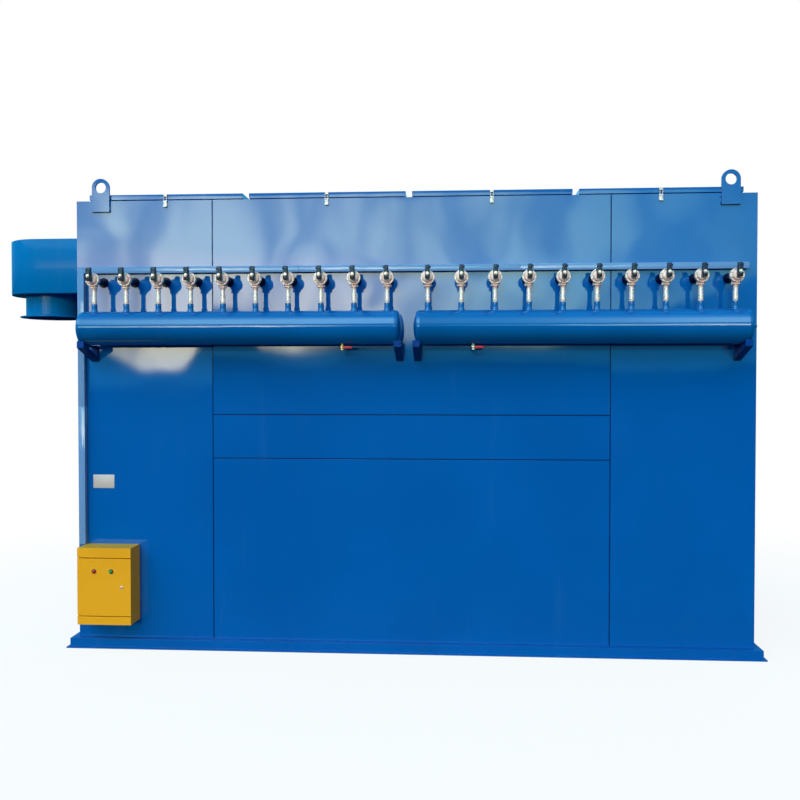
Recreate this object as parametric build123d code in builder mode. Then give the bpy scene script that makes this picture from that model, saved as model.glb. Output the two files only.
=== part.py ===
"""Pulse-jet baghouse dust collector: a sheet-clad filter housing on a base rail, with two
compressed-air tanks, twenty diaphragm valves, four roof lids, an inlet hood and a control box.

Millimetres, +Z up. The origin is on the floor under the middle of the housing, +X runs along the
housing to the right and the valve side is the front, facing -Y.
"""
import os
from math import atan2, cos, degrees, radians, sin

from build123d import *

os.makedirs("parts", exist_ok=True)

# Housing
HOUSING_LENGTH = 4230
HOUSING_DEPTH = 2000
WALL_TOP = 2838
SHEET = 6
SEAM_GAP = 6
MIDDLE_ZONE = 2480
BAND_TOP = 1485
BAND_BOTTOM = 1209

# Base rail round the foot of the walls
BASE_HEIGHT = 60
RAIL_REACH = 44
LIP_REACH = 62
LIP_THICKNESS = 8

# Roof lids: folded trays that sit on curbs
LID_COUNT = 4
ROOF_MARGIN = 63
LID_GAP = 40
LID_HEIGHT = 38
LID_SHEET = 3
LID_SETBACK = 4
LID_RIM_GAP = 6
CURB_INSET = 16
CURB_THICKNESS = 4

# Toggle catches that hold the lids down
CATCH_WIDTH = 24
CATCH_DROP = 42
CATCH_PLATE = 3
CATCH_BARREL = 12
CATCH_BARREL_DROP = 10
CATCH_BAR = 4
CATCH_WINDOW = 12
CATCH_KEEPER = 16
CATCH_CURL = 14

# Lifting eyes
EYE_INSET = 162
EYE_WIDTH = 113
EYE_THICKNESS = 16
EYE_HOLE = 68
EYE_RISE = 138
EYE_DROP = 71

# Air tanks
TANK_DIAMETER = 205
TANK_WALL = 6
HEAD_DEPTH = 34
HEAD_KNUCKLE = 20
TANK_OUTER_GAP = 76
TANK_INNER_GAP = 36
TANK_DROP = 816
TANK_STANDOFF = 150
BRACKET_WIDTH = 43
BRACKET_BAR = 10
BRACKET_DROP = 100
BRACKET_REACH = 80
BRACKET_LIP = 20
OUTER_BRACKET_INSET = 40
INNER_BRACKET_INSET = 20
AIR_INLET_DIAMETER = 24
AIR_INLET_REACH = 28

# Pulse valves, as many as the tank's straight shell takes; small round pieces that repeat have this many flats
FLATS = 8
VALVE_PITCH = 202
FIRST_VALVE_X = 123
STUB_DIAMETER = 36
STUB_HEIGHT = 46
RISER_DIAMETER = 30
RISER_LENGTH = 95
NECK_NUT_DIAMETER = 52
NECK_NUT_HEIGHT = 16
NECK_DIAMETER = 46
VALVE_RISE = 54
VALVE_BACK = 28
VALVE_THROAT = 52
BONNET_DIAMETER = 84
BONNET_START = 14
BONNET_THICKNESS = 22
CAP_DIAMETER = 66
CAP_DEPTH = 26
CAP_SLOPE = 22
COIL_RISE = 15
COIL_WIDTH = 28
COIL_HEIGHT = 58
COIL_DEPTH = 40
PLUG_WIDTH = 26
PLUG_HEIGHT = 24
PLUG_DEPTH = 28
COIL_NUT_DIAMETER = 17
COIL_NUT_LENGTH = 9
BLOW_PIPE_DIAMETER = 34
WALL_COUPLING_DIAMETER = 62
WALL_COUPLING_LENGTH = 16

# Wiring trunk
TRUNK = 40
TRUNK_RISE = 56
TRUNK_INSET = 19

# Drain valves under the tanks
DRAIN_X = 397
DRAIN_PIPE_DIAMETER = 21.3
DRAIN_PIPE_LENGTH = 4
DRAIN_NUT = 30
DRAIN_NUT_HEIGHT = 8
DRAIN_BODY = 32
DRAIN_BODY_HEIGHT = 14
DRAIN_STEM_DIAMETER = 8
DRAIN_STEM_LENGTH = 22
LEVER_LENGTH = 70
LEVER_WIDTH = 14
LEVER_CORNER = 4
LEVER_THICKNESS = 4
LEVER_CLEARANCE = 0.1

# Control box
BOX_INSET = 55
BOX_WIDTH = 340
BOX_BOTTOM = 179
BOX_HEIGHT = 479
BOX_DEPTH = 157
BOX_SHEET = 3
BOX_STRIP_TOP = 60
BOX_STRIP_BOTTOM = 51
DOOR_THICKNESS = 14
DOOR_SHEET = 3
DOOR_RETURN = 18
DOOR_GAP = 5
HINGE_PIN_DIAMETER = 6
HINGE_PIN_INSET = 9
HINGE_PIN_LENGTH = 17
HINGE_CLEARANCE = 0.1
PLATE_MARGIN = 20
LAMP_DIAMETER = 22
LAMP_BEZEL_DIAMETER = 29
LAMP_BEZEL = 4
LAMP_LENGTH = 14
LAMP_ROUNDING = 3
LAMP_DROP = 80
LAMP_SPACING = 109
LAMP_INSET = 107
LOCK_DIAMETER = 20
LOCK_LENGTH = 7
LOCK_SLOT = 3
LOCK_INSET = 58
LOCK_RISE = 235

# Inlet hood on the left side
HOOD_RADIUS = 290
HOOD_CENTRE_REACH = 620
HOOD_DROP = 116
HOOD_HEIGHT = 391
HOOD_SHEET = 5
NECK_RADIUS = 194
NECK_SHEET = 4
NECK_LENGTH = 153
FLANGE_RADIUS = 234
FLANGE_THICKNESS = 8
FLANGE_BOLTS = 8
BOLT_CIRCLE_DIAMETER = 430
BOLT_HOLE_DIAMETER = 12

# Places worked out from the sizes above
HALF_LENGTH = HOUSING_LENGTH / 2
HALF_DEPTH = HOUSING_DEPTH / 2
FRONT = -HALF_DEPTH
CORE_LENGTH = HOUSING_LENGTH - 2 * SHEET
CORE_DEPTH = HOUSING_DEPTH - 2 * SHEET
CORE_TOP = WALL_TOP - SHEET
SEAM_X = MIDDLE_ZONE / 2
LID_ROW = HOUSING_LENGTH - 2 * ROOF_MARGIN
LID_PITCH = LID_ROW / LID_COUNT
LID_LENGTH = LID_PITCH - LID_GAP
LID_WIDTH = HOUSING_DEPTH - 2 * LID_SETBACK
LID_XS = [-LID_ROW / 2 + (i + 0.5) * LID_PITCH for i in range(LID_COUNT)]
TANK_RADIUS = TANK_DIAMETER / 2
TANK_Y = FRONT - TANK_STANDOFF
TANK_Z = WALL_TOP - TANK_DROP
TANK_OUTER_END = HALF_LENGTH - TANK_OUTER_GAP
TANK_LENGTH = TANK_OUTER_END - TANK_INNER_GAP
TANK_MIDDLE_X = (TANK_OUTER_END + TANK_INNER_GAP) / 2
TANK_TOP = TANK_Z + TANK_RADIUS
TANK_BOTTOM = TANK_Z - TANK_RADIUS
LAST_STUB_X = TANK_OUTER_END - HEAD_DEPTH - STUB_DIAMETER / 2
VALVES_PER_TANK = 1 + int((LAST_STUB_X - FIRST_VALVE_X) // VALVE_PITCH)
VALVE_XS = [FIRST_VALVE_X + i * VALVE_PITCH for i in range(VALVES_PER_TANK)]
STUB_TOP = TANK_TOP + STUB_HEIGHT
RISER_TOP = STUB_TOP + RISER_LENGTH
VALVE_Z = RISER_TOP + VALVE_RISE
BONNET_FRONT = BONNET_START + BONNET_THICKNESS
CAP_FRONT = BONNET_FRONT + CAP_DEPTH
COIL_BACK = CAP_FRONT
COIL_FRONT = COIL_BACK + COIL_DEPTH
COIL_Z = VALVE_Z + COIL_RISE
TRUNK_LEFT = -HALF_LENGTH + TRUNK_INSET
TRUNK_Z = VALVE_Z + TRUNK_RISE
BOX_LEFT = -HALF_LENGTH + BOX_INSET
BOX_RIGHT = BOX_LEFT + BOX_WIDTH
BOX_TOP = BOX_BOTTOM + BOX_HEIGHT
BOX_MIDDLE_X = BOX_LEFT + BOX_WIDTH / 2
BOX_MIDDLE_Z = BOX_BOTTOM + BOX_HEIGHT / 2
DOOR_FACE = FRONT - BOX_DEPTH
DOOR_BOTTOM = BOX_BOTTOM + BOX_STRIP_BOTTOM + DOOR_GAP
DOOR_TOP = BOX_TOP - BOX_STRIP_TOP - DOOR_GAP
HOOD_X = -HALF_LENGTH - HOOD_CENTRE_REACH
HOOD_TOP = WALL_TOP - HOOD_DROP
HOOD_BOTTOM = HOOD_TOP - HOOD_HEIGHT
NECK_BOTTOM = HOOD_BOTTOM - NECK_LENGTH
FLANGE_BOTTOM = NECK_BOTTOM - FLANGE_THICKNESS


def finish(builder, name):
    """Name a finished piece and write it to its own file."""
    builder.part.label = name
    export_step(builder.part, f"parts/{name}.step")


def slab(name, x0, x1, y0, y1, z0, z1):
    """A rectangular plate between two corners."""
    plane = Plane(origin=((x0 + x1) / 2, (y0 + y1) / 2, z0))
    with BuildPart() as piece:
        with BuildSketch(plane):
            Rectangle(x1 - x0, y1 - y0)
        extrude(amount=z1 - z0)
    finish(piece, name)


def base_frame():
    """Floor plate with an upright rail and a lip that runs out along the floor."""
    with BuildPart() as base:
        with BuildSketch():
            Rectangle(HOUSING_LENGTH + 2 * LIP_REACH, HOUSING_DEPTH + 2 * LIP_REACH)
        extrude(amount=LIP_THICKNESS)
        with BuildSketch(Plane.XY.offset(LIP_THICKNESS)):
            Rectangle(HOUSING_LENGTH + 2 * RAIL_REACH, HOUSING_DEPTH + 2 * RAIL_REACH)
        extrude(amount=BASE_HEIGHT - LIP_THICKNESS)
    finish(base, "base_frame")


def housing_core():
    """The filter house itself, closed all round by its cladding sheets."""
    half_length = CORE_LENGTH / 2
    half_depth = CORE_DEPTH / 2
    slab("housing_core", -half_length, half_length, -half_depth, half_depth, BASE_HEIGHT, CORE_TOP)


def wall_panels():
    """Cladding sheets: three columns front and back, the middle front one in three heights."""
    half_gap = SEAM_GAP / 2
    middle = (-SEAM_X + half_gap, SEAM_X - half_gap)
    columns = {
        "left": (-HALF_LENGTH, -SEAM_X - half_gap),
        "right": (SEAM_X + half_gap, HALF_LENGTH),
    }
    for side, (x0, x1) in columns.items():
        slab(f"front_panel_{side}", x0, x1, FRONT, FRONT + SHEET, BASE_HEIGHT, WALL_TOP)
    heights = {
        "bottom": (BASE_HEIGHT, BAND_BOTTOM - half_gap),
        "middle": (BAND_BOTTOM + half_gap, BAND_TOP - half_gap),
        "top": (BAND_TOP + half_gap, WALL_TOP),
    }
    for level, (z0, z1) in heights.items():
        slab(f"front_panel_{level}", *middle, FRONT, FRONT + SHEET, z0, z1)
    with BuildPart() as back:
        for x0, x1 in (columns["left"], middle, columns["right"]):
            with BuildSketch(Plane(origin=((x0 + x1) / 2, HALF_DEPTH - SHEET / 2, BASE_HEIGHT))):
                Rectangle(x1 - x0, SHEET)
            extrude(amount=WALL_TOP - BASE_HEIGHT)
    finish(back, "back_wall")


def side_panels():
    """End sheets; the left one is open where the hood meets it."""
    half_depth = CORE_DEPTH / 2
    slab("side_panel_right", HALF_LENGTH - SHEET, HALF_LENGTH, -half_depth, half_depth, BASE_HEIGHT, WALL_TOP)
    with BuildPart() as panel:
        with BuildSketch(Plane.YZ.offset(-HALF_LENGTH)):
            with Locations((0, (BASE_HEIGHT + WALL_TOP) / 2)):
                Rectangle(CORE_DEPTH, WALL_TOP - BASE_HEIGHT)
            with Locations((0, HOOD_BOTTOM + HOOD_HEIGHT / 2)):
                Rectangle(2 * (HOOD_RADIUS - HOOD_SHEET), HOOD_HEIGHT - 2 * HOOD_SHEET, mode=Mode.SUBTRACT)
        extrude(amount=SHEET)
    finish(panel, "side_panel_left")


def roof():
    """Roof plate with a raised curb for each lid, and the lids, folded trays that sit on the curbs."""
    curb_length = LID_LENGTH - 2 * CURB_INSET
    curb_width = LID_WIDTH - 2 * CURB_INSET
    with BuildPart() as plate:
        with BuildSketch(Plane.XY.offset(CORE_TOP)):
            Rectangle(CORE_LENGTH, CORE_DEPTH)
        extrude(amount=WALL_TOP - CORE_TOP)
        with BuildSketch(Plane.XY.offset(WALL_TOP)):
            for x in LID_XS:
                with Locations((x, 0)):
                    Rectangle(curb_length, curb_width)
                    Rectangle(curb_length - 2 * CURB_THICKNESS, curb_width - 2 * CURB_THICKNESS, mode=Mode.SUBTRACT)
        extrude(amount=LID_HEIGHT - LID_SHEET)
    finish(plate, "roof_plate")

    for i, x in enumerate(LID_XS):
        with BuildPart() as lid:
            with BuildSketch(Plane(origin=(x, 0, WALL_TOP + LID_RIM_GAP))):
                Rectangle(LID_LENGTH, LID_WIDTH)
            extrude(amount=LID_HEIGHT - LID_RIM_GAP)
            with BuildSketch(Plane(origin=(x, 0, WALL_TOP + LID_RIM_GAP))):
                Rectangle(LID_LENGTH - 2 * LID_SHEET, LID_WIDTH - 2 * LID_SHEET)
            extrude(amount=LID_HEIGHT - LID_RIM_GAP - LID_SHEET, mode=Mode.SUBTRACT)
        finish(lid, f"lid_{i + 1}")


def lid_catches():
    """One toggle catch in front of and behind each lid: wall plate, barrel, lever, link and keeper."""
    link_front = FRONT - CATCH_BARREL / 2
    keeper_back = FRONT + LID_SETBACK
    lid_top = WALL_TOP + LID_HEIGHT
    barrel_z = WALL_TOP - CATCH_BARREL_DROP
    foot_z = WALL_TOP - CATCH_DROP
    with BuildPart() as catches:
        for x in LID_XS:
            side = Plane.YZ.offset(x - CATCH_WIDTH / 2)
            with BuildSketch(side):
                with Locations((FRONT, foot_z)):
                    Rectangle(CATCH_PLATE, WALL_TOP - foot_z, align=(Align.MAX, Align.MIN))
                with Locations((FRONT - CATCH_BARREL / 2, barrel_z)):
                    RegularPolygon(CATCH_BARREL / 2, FLATS)
                with Locations((link_front, barrel_z)):
                    Rectangle(CATCH_BAR, lid_top - barrel_z, align=(Align.CENTER, Align.MIN))
                with Locations((keeper_back, lid_top)):
                    Rectangle(keeper_back - link_front, CATCH_KEEPER, align=(Align.MAX, Align.MAX))
                Polygon(
                    (link_front, barrel_z),
                    (FRONT - CATCH_BARREL, barrel_z),
                    (FRONT - CATCH_BARREL / 2 - CATCH_BAR / 2, foot_z + CATCH_BARREL / 2),
                    (FRONT - CATCH_CURL, foot_z),
                    (FRONT - CATCH_CURL + CATCH_BAR, foot_z - CATCH_BAR / 2),
                    (FRONT - CATCH_PLATE - CATCH_BAR / 4, foot_z + CATCH_BARREL / 2),
                    align=None,
                )
            extrude(amount=CATCH_WIDTH)
            window_top = lid_top - CATCH_KEEPER
            window_bottom = barrel_z + CATCH_BARREL / 2
            with BuildSketch(Plane.XZ.offset(-link_front - CATCH_BARREL)):
                with Locations((x, (window_top + window_bottom) / 2)):
                    Rectangle(CATCH_WINDOW, window_top - window_bottom)
            extrude(amount=2 * CATCH_BARREL, mode=Mode.SUBTRACT)
        mirror(about=Plane.XZ)
    finish(catches, "lid_catches")


def lifting_eyes():
    """Round-topped plates welded to the walls near each corner."""
    ring_z = WALL_TOP + EYE_RISE - EYE_WIDTH / 2
    foot_z = WALL_TOP - EYE_DROP
    for name, outer_face in (("front", FRONT), ("back", HALF_DEPTH + EYE_THICKNESS)):
        with BuildPart() as eyes:
            with BuildSketch(Plane.XZ.offset(-outer_face)):
                for x in (-HALF_LENGTH + EYE_INSET, HALF_LENGTH - EYE_INSET):
                    with Locations((x, foot_z)):
                        Rectangle(EYE_WIDTH, ring_z - foot_z, align=(Align.CENTER, Align.MIN))
                    with Locations((x, ring_z)):
                        Circle(EYE_WIDTH / 2)
                        Circle(EYE_HOLE / 2, mode=Mode.SUBTRACT)
            extrude(amount=EYE_THICKNESS)
        finish(eyes, f"lifting_eyes_{name}")


def dished_profile(centre, direction):
    """Half section of a dished end: a wide crown that meets the tube through a small knuckle.

    The knuckle is two straight cones between points of its arc, and the inside is one cone that stays
    at least a wall's thickness behind.
    """
    knuckle_height = TANK_RADIUS - HEAD_KNUCKLE
    crown = (HEAD_DEPTH**2 + knuckle_height**2 - HEAD_KNUCKLE**2) / (2 * (HEAD_DEPTH - HEAD_KNUCKLE))
    crown_centre = HEAD_DEPTH - crown
    turn = degrees(atan2(knuckle_height, -crown_centre))
    middle = radians((turn + 90) / 2)
    with BuildSketch(Plane(origin=centre, x_dir=(direction, 0, 0), z_dir=(0, -direction, 0))) as profile:
        with BuildLine():
            crown_arc = CenterArc((crown_centre, 0), crown, 0, turn)
            Polyline(
                crown_arc @ 1,
                (HEAD_KNUCKLE * cos(middle), knuckle_height + HEAD_KNUCKLE * sin(middle)),
                (0, TANK_RADIUS),
                (0, TANK_RADIUS - TANK_WALL),
                (HEAD_DEPTH - TANK_WALL, 0),
                crown_arc @ 0,
            )
        make_face()
    return profile.sketch


def tank(name, side, air_inlet):
    """Tank shell with its valve stubs, its two dished ends and its two wall brackets."""
    tube_length = TANK_LENGTH - 2 * HEAD_DEPTH
    tube_start = side * TANK_MIDDLE_X - tube_length / 2
    with BuildPart() as shell:
        with BuildSketch(Plane.YZ.offset(tube_start)):
            with Locations((TANK_Y, TANK_Z)):
                Circle(TANK_RADIUS)
        extrude(amount=tube_length)
        with BuildSketch(Plane.XY.offset(TANK_Z)):
            for x in VALVE_XS:
                with Locations((side * x, TANK_Y)):
                    RegularPolygon(STUB_DIAMETER / 2, FLATS)
        extrude(amount=TANK_RADIUS + STUB_HEIGHT)
        with BuildSketch(Plane.YZ.offset(tube_start)):
            with Locations((TANK_Y, TANK_Z)):
                Circle(TANK_RADIUS - TANK_WALL)
        extrude(amount=tube_length, mode=Mode.SUBTRACT)
    finish(shell, f"tank_{name}_shell")

    with BuildPart() as ends:
        for direction in (-1, 1):
            centre = (side * TANK_MIDDLE_X + direction * tube_length / 2, TANK_Y, TANK_Z)
            revolve(dished_profile(centre, direction), axis=Axis(centre, (1, 0, 0)))
            if air_inlet and direction == side:
                crown_top = Vector(*centre) + direction * Vector(HEAD_DEPTH - TANK_WALL / 2, 0, 0)
                with BuildSketch(Plane(origin=crown_top, x_dir=(0, 1, 0), z_dir=(direction, 0, 0))):
                    RegularPolygon(AIR_INLET_DIAMETER / 2, FLATS)
                extrude(amount=AIR_INLET_REACH)
    finish(ends, f"tank_{name}_ends")

    arm_front = TANK_Y - BRACKET_REACH
    bar = BRACKET_BAR
    foot = TANK_BOTTOM - BRACKET_DROP
    with BuildPart() as brackets:
        for centre in (TANK_OUTER_END - OUTER_BRACKET_INSET, TANK_INNER_GAP + INNER_BRACKET_INSET):
            with BuildSketch(Plane.YZ.offset(side * centre - BRACKET_WIDTH / 2)):
                Polygon(
                    (FRONT, TANK_BOTTOM),
                    (arm_front + bar, TANK_BOTTOM),
                    (arm_front + bar, TANK_BOTTOM + BRACKET_LIP),
                    (arm_front, TANK_BOTTOM + BRACKET_LIP),
                    (arm_front, TANK_BOTTOM - 2 * bar),
                    (FRONT, foot),
                    align=None,
                )
                Polygon(
                    (FRONT - bar, TANK_BOTTOM - bar),
                    (arm_front + 6 * bar, TANK_BOTTOM - bar),
                    (FRONT - bar, foot + 3 * bar),
                    align=None,
                    mode=Mode.SUBTRACT,
                )
            extrude(amount=BRACKET_WIDTH)
    finish(brackets, f"tank_{name}_brackets")


def valve_rounds(places, diameter, reach):
    """One round section for each valve, set that far in front of the risers."""
    with BuildSketch(Plane.XZ.offset(-TANK_Y + reach)) as sections:
        for x in places:
            with Locations((x, VALVE_Z)):
                RegularPolygon(diameter / 2, FLATS)
    return sections.sketch


def valves(name, side):
    """Risers, valve bodies, coils and the blow pipes that run back into the housing."""
    places = [side * x for x in VALVE_XS]
    with BuildPart() as risers:
        with BuildSketch(Plane.XY.offset(STUB_TOP)):
            for x in places:
                with Locations((x, TANK_Y)):
                    RegularPolygon(RISER_DIAMETER / 2, FLATS)
        extrude(amount=RISER_LENGTH)
    finish(risers, f"risers_{name}")

    with BuildPart() as bodies:
        with BuildSketch(Plane.XY.offset(RISER_TOP)):
            for x in places:
                with Locations((x, TANK_Y)):
                    RegularPolygon(NECK_NUT_DIAMETER / 2, 6)
        extrude(amount=NECK_NUT_HEIGHT)
        with BuildSketch(Plane.XY.offset(RISER_TOP + NECK_NUT_HEIGHT)):
            for x in places:
                with Locations((x, TANK_Y)):
                    RegularPolygon(NECK_DIAMETER / 2, FLATS)
        extrude(amount=VALVE_RISE - NECK_NUT_HEIGHT)
        extrude(valve_rounds(places, VALVE_THROAT, -VALVE_BACK), amount=BONNET_START + VALVE_BACK)
        extrude(valve_rounds(places, BONNET_DIAMETER, BONNET_START), amount=BONNET_THICKNESS)
        extrude(valve_rounds(places, CAP_DIAMETER, BONNET_FRONT), amount=CAP_DEPTH, taper=CAP_SLOPE)
    finish(bodies, f"valves_{name}")

    with BuildPart() as coils:
        with BuildSketch(Plane.XZ.offset(-TANK_Y + COIL_BACK)):
            for x in places:
                with Locations((x, COIL_Z)):
                    Rectangle(COIL_WIDTH, COIL_HEIGHT)
        extrude(amount=COIL_DEPTH)
        with BuildSketch(Plane.XY.offset(COIL_Z + COIL_HEIGHT / 2)):
            for x in places:
                with Locations((x, TANK_Y - COIL_BACK - COIL_DEPTH / 2)):
                    Rectangle(PLUG_WIDTH, PLUG_DEPTH)
        extrude(amount=PLUG_HEIGHT)
    finish(coils, f"coils_{name}")

    with BuildPart() as nuts:
        with BuildSketch(Plane.XZ.offset(-TANK_Y + COIL_FRONT)):
            for x in places:
                with Locations((x, COIL_Z)):
                    RegularPolygon(COIL_NUT_DIAMETER / 2, 6)
        extrude(amount=COIL_NUT_LENGTH)
    finish(nuts, f"coil_nuts_{name}")

    with BuildPart() as pipes:
        pipe_length = TANK_STANDOFF - VALVE_BACK
        extrude(valve_rounds(places, BLOW_PIPE_DIAMETER, -TANK_STANDOFF), amount=pipe_length)
        extrude(valve_rounds(places, WALL_COUPLING_DIAMETER, -TANK_STANDOFF), amount=WALL_COUPLING_LENGTH)
    finish(pipes, f"blow_pipes_{name}")


def wiring_trunk():
    """Cable channels: one up from the control box, one along the wall over the valves."""
    slab("side_trunk", TRUNK_LEFT, TRUNK_LEFT + TRUNK, FRONT - TRUNK, FRONT, BOX_TOP, TRUNK_Z + TRUNK)
    start = TRUNK_LEFT + TRUNK
    slab("top_trunk", start, -start, FRONT - TRUNK, FRONT, TRUNK_Z, TRUNK_Z + TRUNK)


def drain_valve(name, side):
    """Ball valve under a tank, with a lever on a stem that faces the front."""
    x = side * DRAIN_X
    upper_nut_top = TANK_BOTTOM - DRAIN_PIPE_LENGTH
    body_top = upper_nut_top - DRAIN_NUT_HEIGHT
    lower_nut_top = body_top - DRAIN_BODY_HEIGHT
    stem_z = body_top - DRAIN_BODY_HEIGHT / 2
    stem_end = TANK_Y - DRAIN_BODY / 2 - DRAIN_STEM_LENGTH
    lever_back = stem_end + DRAIN_STEM_LENGTH / 2
    with BuildPart() as valve:
        with BuildSketch(Plane.XY.offset(upper_nut_top)):
            with Locations((x, TANK_Y)):
                RegularPolygon(DRAIN_PIPE_DIAMETER / 2, FLATS)
        extrude(amount=DRAIN_PIPE_LENGTH)
        for nut_bottom in (body_top, lower_nut_top - DRAIN_NUT_HEIGHT):
            with BuildSketch(Plane.XY.offset(nut_bottom)):
                with Locations((x, TANK_Y)):
                    RegularPolygon(DRAIN_NUT / 2, 6)
            extrude(amount=DRAIN_NUT_HEIGHT)
        with BuildSketch(Plane.XY.offset(lower_nut_top)):
            with Locations((x, TANK_Y)):
                RegularPolygon(DRAIN_BODY / 2, FLATS)
        extrude(amount=DRAIN_BODY_HEIGHT)
        with BuildSketch(Plane.XZ.offset(-TANK_Y)):
            with Locations((x, stem_z)):
                Circle(DRAIN_STEM_DIAMETER / 2)
        extrude(amount=TANK_Y - stem_end)
    finish(valve, f"drain_valve_{name}")

    with BuildPart() as lever:
        with BuildSketch(Plane.XZ.offset(-lever_back)) as plan:
            with Locations((x + (LEVER_LENGTH - LEVER_WIDTH) / 2, stem_z)):
                Rectangle(LEVER_LENGTH, LEVER_WIDTH)
            chamfer(plan.vertices(), LEVER_CORNER)
            with Locations((x, stem_z)):
                Circle(DRAIN_STEM_DIAMETER / 2 + LEVER_CLEARANCE, mode=Mode.SUBTRACT)
        extrude(amount=LEVER_THICKNESS)
    finish(lever, f"drain_lever_{name}")


def control_box():
    """Sheet box with a fixed strip above and below its folded door, which turns on two pins."""
    rim = DOOR_FACE + DOOR_THICKNESS + DOOR_GAP
    pin_x = BOX_LEFT + HINGE_PIN_INSET
    pin_y = DOOR_FACE + DOOR_THICKNESS / 2
    with BuildPart() as box:
        with BuildSketch(Plane.XZ.offset(-FRONT)):
            with Locations((BOX_MIDDLE_X, BOX_MIDDLE_Z)):
                Rectangle(BOX_WIDTH, BOX_HEIGHT)
        extrude(amount=FRONT - rim)
        with BuildSketch(Plane.XZ.offset(-FRONT + BOX_SHEET)):
            with Locations((BOX_MIDDLE_X, BOX_MIDDLE_Z)):
                Rectangle(BOX_WIDTH - 2 * BOX_SHEET, BOX_HEIGHT - 2 * BOX_SHEET)
        extrude(amount=FRONT - BOX_SHEET - rim, mode=Mode.SUBTRACT)
        for z0, z1 in ((BOX_BOTTOM, DOOR_BOTTOM - DOOR_GAP), (DOOR_TOP + DOOR_GAP, BOX_TOP)):
            with BuildSketch(Plane.XZ.offset(-rim)):
                with Locations((BOX_MIDDLE_X, (z0 + z1) / 2)):
                    Rectangle(BOX_WIDTH, z1 - z0)
            extrude(amount=rim - DOOR_FACE)
        for z, direction in ((DOOR_BOTTOM - DOOR_GAP, 1), (DOOR_TOP + DOOR_GAP, -1)):
            with BuildSketch(Plane.XY.offset(z)):
                with Locations((pin_x, pin_y)):
                    Circle(HINGE_PIN_DIAMETER / 2)
            extrude(amount=direction * HINGE_PIN_LENGTH)
    finish(box, "control_box")

    slab(
        "mounting_plate",
        BOX_LEFT + BOX_SHEET + PLATE_MARGIN, BOX_RIGHT - BOX_SHEET - PLATE_MARGIN,
        FRONT - 2 * BOX_SHEET, FRONT - BOX_SHEET,
        BOX_BOTTOM + BOX_SHEET + PLATE_MARGIN, BOX_TOP - BOX_SHEET - PLATE_MARGIN,
    )

    with BuildPart() as door:
        with BuildSketch(Plane.XY.offset(DOOR_BOTTOM)):
            with Locations((BOX_MIDDLE_X, DOOR_FACE)):
                Rectangle(BOX_WIDTH, DOOR_THICKNESS, align=(Align.CENTER, Align.MIN))
        extrude(amount=DOOR_TOP - DOOR_BOTTOM)
        with BuildSketch(Plane.XZ.offset(-DOOR_FACE - DOOR_THICKNESS)):
            with Locations((BOX_MIDDLE_X, (DOOR_BOTTOM + DOOR_TOP) / 2)):
                Rectangle(BOX_WIDTH - 2 * DOOR_RETURN, DOOR_TOP - DOOR_BOTTOM - 2 * DOOR_RETURN)
        extrude(amount=DOOR_THICKNESS - DOOR_SHEET, mode=Mode.SUBTRACT)
        for z, direction in ((DOOR_BOTTOM, 1), (DOOR_TOP, -1)):
            with BuildSketch(Plane.XY.offset(z)):
                with Locations((pin_x, pin_y)):
                    Circle(HINGE_PIN_DIAMETER / 2 + HINGE_CLEARANCE)
            extrude(amount=direction * (HINGE_PIN_LENGTH - DOOR_GAP + HINGE_CLEARANCE), mode=Mode.SUBTRACT)
    finish(door, "control_door")

    for colour, x in (("red", BOX_LEFT + LAMP_INSET), ("green", BOX_LEFT + LAMP_INSET + LAMP_SPACING)):
        with BuildPart() as lamp:
            with BuildSketch(Plane.XZ.offset(-DOOR_FACE)):
                with Locations((x, DOOR_TOP - LAMP_DROP)):
                    RegularPolygon(LAMP_BEZEL_DIAMETER / 2, 2 * FLATS)
            extrude(amount=LAMP_BEZEL)
            with BuildSketch(Plane.XZ.offset(-DOOR_FACE + LAMP_BEZEL)):
                with Locations((x, DOOR_TOP - LAMP_DROP)):
                    RegularPolygon(LAMP_DIAMETER / 2, 2 * FLATS)
            extrude(amount=LAMP_LENGTH - LAMP_BEZEL)
            chamfer(lamp.faces().sort_by(Axis.Y)[0].edges(), LAMP_ROUNDING)
        finish(lamp, f"lamp_{colour}")
    with BuildPart() as lock:
        with BuildSketch(Plane.XZ.offset(-DOOR_FACE)):
            with Locations((BOX_RIGHT - LOCK_INSET, BOX_BOTTOM + LOCK_RISE)):
                Circle(LOCK_DIAMETER / 2)
        extrude(amount=LOCK_LENGTH)
        with BuildSketch(Plane.XZ.offset(-DOOR_FACE + LOCK_LENGTH)):
            with Locations((BOX_RIGHT - LOCK_INSET, BOX_BOTTOM + LOCK_RISE)):
                Rectangle(LOCK_SLOT, LOCK_DIAMETER / 2)
        extrude(amount=-LOCK_LENGTH / 2, mode=Mode.SUBTRACT)
    finish(lock, "door_lock")


def hood_plan(radius):
    """The hood seen from above: a half round whose straight sides run to the wall."""
    with BuildSketch(mode=Mode.PRIVATE) as plan:
        with Locations((HOOD_X, 0)):
            Circle(radius)
        with Locations((HOOD_X, 0)):
            Rectangle(HOOD_CENTRE_REACH, 2 * radius, align=(Align.MIN, Align.CENTER))
    return plan.sketch


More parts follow.
